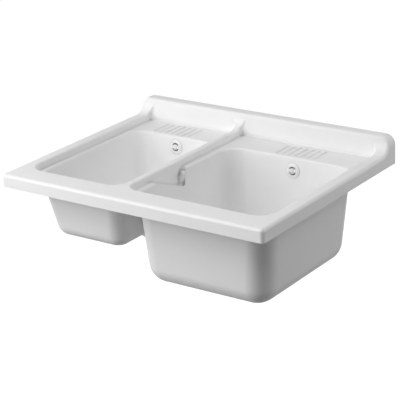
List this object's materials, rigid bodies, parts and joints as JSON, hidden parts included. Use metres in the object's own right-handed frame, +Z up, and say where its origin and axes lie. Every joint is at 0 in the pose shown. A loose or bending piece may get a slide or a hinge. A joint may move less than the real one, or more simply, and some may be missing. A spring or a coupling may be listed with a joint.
{
  "type": "double laundry tub",
  "caption": "Wide moulded laundry tub with a small and a large bowl, splashback, soap shelves, overflows and plugged wastes.",
  "frame": {"origin": "on the wall face, at mid width, level with the top of the rim", "axes": "+X to the right as the user stands, +Y towards the wall, +Z up"},
  "size_m": [0.75, 0.6, 0.353],
  "materials": {
    "white_resin": "gloss",
    "white_abs": "gloss",
    "white_polypropylene": "satin",
    "grey_hose": "satin",
    "stainless_steel": "satin",
    "chromed_brass": "polished",
    "black_rubber": "matt"
  },
  "bodies": {
    "tub": {"tub_moulding": "white_resin", "hose_clips": "stainless_steel", "left_waste_strainer": "stainless_steel", "left_waste_screw": "stainless_steel", "left_waste_seal": "black_rubber", "left_waste_body": "white_polypropylene", "left_overflow_rosette": "white_abs", "left_overflow_screw": "white_abs", "left_overflow_seal": "black_rubber", "left_overflow_elbow": "white_polypropylene", "left_overflow_hose": "grey_hose", "right_waste_strainer": "stainless_steel", "right_waste_screw": "stainless_steel", "right_waste_seal": "black_rubber", "right_waste_body": "white_polypropylene", "right_overflow_rosette": "white_abs", "right_overflow_screw": "white_abs", "right_overflow_seal": "black_rubber", "right_overflow_elbow": "white_polypropylene", "right_overflow_hose": "grey_hose"},
    "left_plug": {"left_waste_plug": "black_rubber", "left_plug_knob": "chromed_brass"},
    "right_plug": {"right_waste_plug": "black_rubber", "right_plug_knob": "chromed_brass"}
  },
  "joints": [
    {"name": "left_plug_lift", "type": "slide", "parent": "tub", "child": "left_plug", "axis": [0, 0, 1], "range_m": [0, 0.2]},
    {"name": "right_plug_lift", "type": "slide", "parent": "tub", "child": "right_plug", "axis": [0, 0, 1], "range_m": [0, 0.27]}
  ]
}
